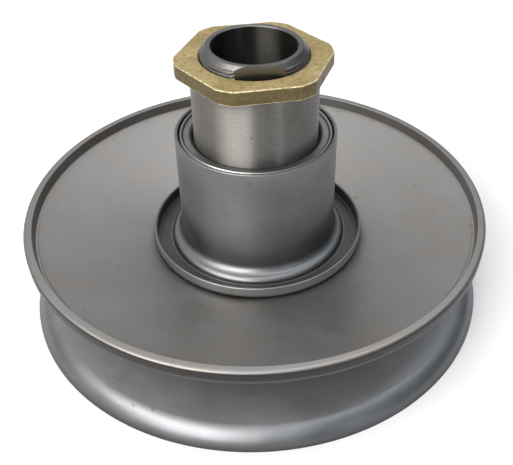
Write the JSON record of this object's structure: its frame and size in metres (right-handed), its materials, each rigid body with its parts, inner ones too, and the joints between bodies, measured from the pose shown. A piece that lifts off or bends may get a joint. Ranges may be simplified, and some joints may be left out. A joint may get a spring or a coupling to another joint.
{
  "type": "cvt driven pulley",
  "caption": "Driven pulley of a scooter belt drive: two conical steel sheave faces that slide open on a tubular hub, with a seal collar, hexagonal nut and inner bearings.",
  "frame": {"origin": "on the shaft axis, at the lower edge of the fixed face's skirt", "axes": "+Z along the shaft axis, from the fixed face towards the nut"},
  "size_m": [0.1324, 0.1324, 0.0764],
  "materials": {
    "fixed_face_steel": "fine turned steel, satin",
    "movable_face_steel": "satin machined steel with faint mottling",
    "hub_steel": "ground steel",
    "ground_steel": "bright ground steel with fine scratches",
    "collar_steel": "smooth drawn steel, satin",
    "weld_metal": "rippled weld metal",
    "yellow_zinc": "yellow passivated zinc plating, matt",
    "bearing_steel": "ground bearing steel",
    "shield_steel": "pressed sheet, satin",
    "polished_steel": "polished",
    "cage_metal": "pressed brass",
    "spring_steel": "phosphated spring steel",
    "pin_steel": "hardened ground steel",
    "seal_metal": "grey coated seal case",
    "seal_rubber": "oily nitrile rubber",
    "o_ring_rubber": "nitrile rubber"
  },
  "bodies": {
    "fixed_face": {"fixed_face_plate": "fixed_face_steel", "fixed_face_hub": "ground_steel", "hub_weld": "weld_metal", "clutch_nut": "yellow_zinc", "guide_pin_1": "pin_steel", "guide_pin_2": "pin_steel", "guide_pin_3": "pin_steel", "needle_bearing_cup": "bearing_steel", "bearing_circlip": "spring_steel", "ball_bearing_outer_ring": "bearing_steel", "ball_bearing_shield_upper": "shield_steel", "ball_bearing_shield_lower": "shield_steel"},
    "seal_collar": {"seal_collar": "collar_steel"},
    "movable_face": {"movable_face_plate": "movable_face_steel", "movable_face_hub": "hub_steel", "upper_seal_case": "seal_metal", "upper_seal_lip": "seal_rubber", "lower_seal_case": "seal_metal", "lower_seal_lip": "seal_rubber", "upper_o_ring": "o_ring_rubber", "lower_o_ring": "o_ring_rubber"},
    "shaft_ring": {"ball_bearing_inner_ring": "bearing_steel"},
    "ball_set": {"ball_bearing_balls": "polished_steel", "ball_bearing_cage": "cage_metal"},
    "needle_set": {"needle_rollers": "polished_steel", "needle_bearing_cage": "cage_metal"},
    "guide_roller_1": {"guide_roller_1": "pin_steel"},
    "guide_roller_2": {"guide_roller_2": "pin_steel"},
    "guide_roller_3": {"guide_roller_3": "pin_steel"}
  },
  "joints": [
    {"name": "sheave_slide", "type": "slide", "parent": "fixed_face", "child": "seal_collar", "axis": [0, 0, 1], "range_m": [0, 0.014]},
    {"name": "cam_turn", "type": "hinge", "parent": "seal_collar", "child": "movable_face", "pos_m": [0, 0, 0.0139], "axis": [0, 0, 1], "range_deg": [0, 36.3]},
    {"name": "shaft_ring_turn", "type": "hinge", "parent": "fixed_face", "child": "shaft_ring", "pos_m": [0, 0, 0.0495], "axis": [0, 0, 1], "continuous": true},
    {"name": "ball_set_turn", "type": "hinge", "parent": "fixed_face", "child": "ball_set", "pos_m": [0, 0, 0.0495], "axis": [0, 0, 1], "continuous": true},
    {"name": "needle_set_turn", "type": "hinge", "parent": "fixed_face", "child": "needle_set", "pos_m": [0, 0, 0.01], "axis": [0, 0, 1], "continuous": true},
    {"name": "guide_roller_1_turn", "type": "hinge", "parent": "fixed_face", "child": "guide_roller_1", "pos_m": [0, 0.019, 0.04], "axis": [0, 1, 0], "range_deg": [0, 265]},
    {"name": "guide_roller_2_turn", "type": "hinge", "parent": "fixed_face", "child": "guide_roller_2", "pos_m": [-0.01645, -0.0095, 0.04], "axis": [-0.866, -0.5, 0], "range_deg": [0, 265]},
    {"name": "guide_roller_3_turn", "type": "hinge", "parent": "fixed_face", "child": "guide_roller_3", "pos_m": [0.01645, -0.0095, 0.04], "axis": [0.866, -0.5, 0], "range_deg": [0, 265]}
  ],
  "couplings": [
    {"joint": "cam_turn", "follows": "sheave_slide", "rad_per_m": 44.88},
    {"joint": "ball_set_turn", "follows": "shaft_ring_turn", "ratio": 0.40791},
    {"joint": "guide_roller_1_turn", "follows": "sheave_slide", "rad_per_m": 328.95},
    {"joint": "guide_roller_2_turn", "follows": "sheave_slide", "rad_per_m": 328.95},
    {"joint": "guide_roller_3_turn", "follows": "sheave_slide", "rad_per_m": 328.95}
  ]
}
